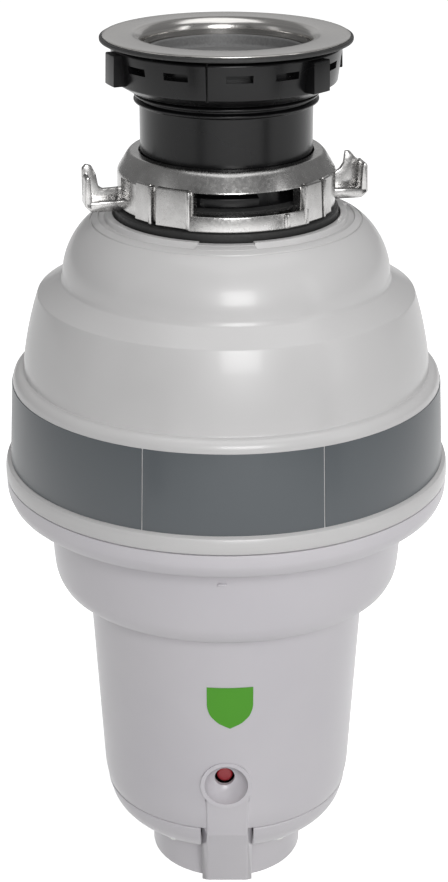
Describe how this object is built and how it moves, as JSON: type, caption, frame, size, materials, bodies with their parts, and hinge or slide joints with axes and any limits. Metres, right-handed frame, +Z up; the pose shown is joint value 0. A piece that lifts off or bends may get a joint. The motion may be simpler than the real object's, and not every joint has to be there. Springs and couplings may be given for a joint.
{
  "type": "kitchen waste disposer",
  "caption": "Continuous-feed kitchen waste disposer with a twist-on sink mount, stepped grey shell, dark label band and tapered motor cover.",
  "frame": {"origin": "centre of the foot's flat underside, on the motor axis", "axes": "+Z up along the motor axis to the sink flange, -Y to the front with the reset button, +X to the right seen from the front"},
  "size_m": [0.2182, 0.2611, 0.432],
  "materials": {
    "badge_green": "green vinyl sticker",
    "band_grey": "dark grey printed foil",
    "bearing_steel": "ground bearing steel",
    "black_plastic": "black moulded nylon",
    "black_rubber": "black moulded rubber",
    "brass_holder": "folded brass",
    "brush_board": "glass-epoxy board",
    "brushed_flange": "stainless sheet, brushed and polished at the rolled mouth",
    "button_red": "red moulded button",
    "carbon": "pressed carbon graphite",
    "cast_ring": "die-cast, tumbled bright",
    "copper": "copper",
    "die_cast": "die-cast aluminium, as cast",
    "ferrite": "sintered ferrite",
    "fibre": "pressed fibre washer",
    "filled_nylon": "glass-filled nylon, moulded",
    "foam": "grey closed-cell foam",
    "lamination": "stacked steel laminations",
    "lower_grey": "light grey moulded cover, satin",
    "screw_steel": "zinc-plated steel",
    "stainless": "stamped stainless steel",
    "upper_grey": "light grey moulded shell, satin",
    "white_plastic": "white moulded polypropylene",
    "zinc_steel": "zinc-plated pressed steel"
  },
  "bodies": {
    "housing": {"base_cover": "lower_grey", "base_screws": "screw_steel", "brush_holder_left": "brass_holder", "brush_holder_right": "brass_holder", "brush_left": "carbon", "brush_plate": "brush_board", "brush_right": "carbon", "brush_spring_left": "screw_steel", "brush_spring_right": "screw_steel", "chamber_gasket": "black_rubber", "chamber_screws": "screw_steel", "cord_gland": "black_plastic", "cushion_mount": "black_rubber", "discharge_flange": "zinc_steel", "discharge_gasket": "black_rubber", "discharge_screws": "screw_steel", "discharge_tube": "white_plastic", "drain_housing": "die_cast", "flange_gasket": "black_rubber", "hopper": "filled_nylon", "inlet_grommet": "black_rubber", "inlet_plug": "filled_nylon", "label_band": "band_grey", "lower_bearing": "bearing_steel", "lower_end_bell": "die_cast", "lower_shell": "lower_grey", "magnet_1": "ferrite", "magnet_2": "ferrite", "magnet_3": "ferrite", "magnet_4": "ferrite", "motor_can": "zinc_steel", "motor_cover": "lower_grey", "motor_through_bolts": "screw_steel", "overload_protector": "black_plastic", "rectifier_board": "brush_board", "ring_seat_gasket": "black_rubber", "shaft_seal": "black_rubber", "shell_screws": "screw_steel", "shield_badge": "badge_green", "shredder_ring": "stainless", "sink_flange": "brushed_flange", "sound_insulation": "foam", "threaded_sleeve": "black_plastic", "upper_bearing": "bearing_steel", "upper_shell": "upper_grey"},
    "twist_ring": {"mounting_ring": "cast_ring"},
    "friction_washer": {"friction_ring": "fibre"},
    "nut": {"mounting_nut": "black_plastic"},
    "guard": {"splash_guard": "black_rubber"},
    "rotor": {"rotor_shaft": "stainless", "armature_core": "lamination", "armature_windings": "copper", "commutator": "copper", "turntable": "stainless", "impeller_rivets": "screw_steel"},
    "impeller_a_arm": {"impeller_a": "stainless"},
    "impeller_b_arm": {"impeller_b": "stainless"},
    "button": {"reset_button": "button_red"}
  },
  "joints": [
    {"name": "motor_spin", "type": "hinge", "parent": "housing", "child": "rotor", "pos_m": [0, 0, 0.15], "axis": [0, 0, 1], "continuous": true},
    {"name": "impeller_a_swivel", "type": "hinge", "parent": "rotor", "child": "impeller_a_arm", "pos_m": [0.044, 0, 0.267], "axis": [0, 0, 1], "continuous": true},
    {"name": "impeller_b_swivel", "type": "hinge", "parent": "rotor", "child": "impeller_b_arm", "pos_m": [-0.044, 0, 0.267], "axis": [0, 0, 1], "continuous": true},
    {"name": "ring_twist", "type": "hinge", "parent": "housing", "child": "twist_ring", "pos_m": [0, 0, 0.36], "axis": [0, 0, 1], "range_deg": [0, 60]},
    {"name": "nut_travel", "type": "slide", "parent": "housing", "child": "friction_washer", "axis": [0, 0, -1], "range_m": [0, 0.008]},
    {"name": "nut_turn", "type": "hinge", "parent": "friction_washer", "child": "nut", "pos_m": [0, 0, 0.416], "axis": [0, 0, 1], "range_deg": [-970, 0]},
    {"name": "guard_lift", "type": "slide", "parent": "housing", "child": "guard", "axis": [0, 0, 1], "range_m": [0, 0.03]},
    {"name": "reset_press", "type": "slide", "parent": "housing", "child": "button", "axis": [0, 1, 0], "range_m": [0, 0.002], "stiffness_N_per_m": 400, "springref_m": -0.002}
  ],
  "couplings": [
    {"joint": "nut_turn", "follows": "nut_travel", "rad_per_m": -2094.4}
  ]
}
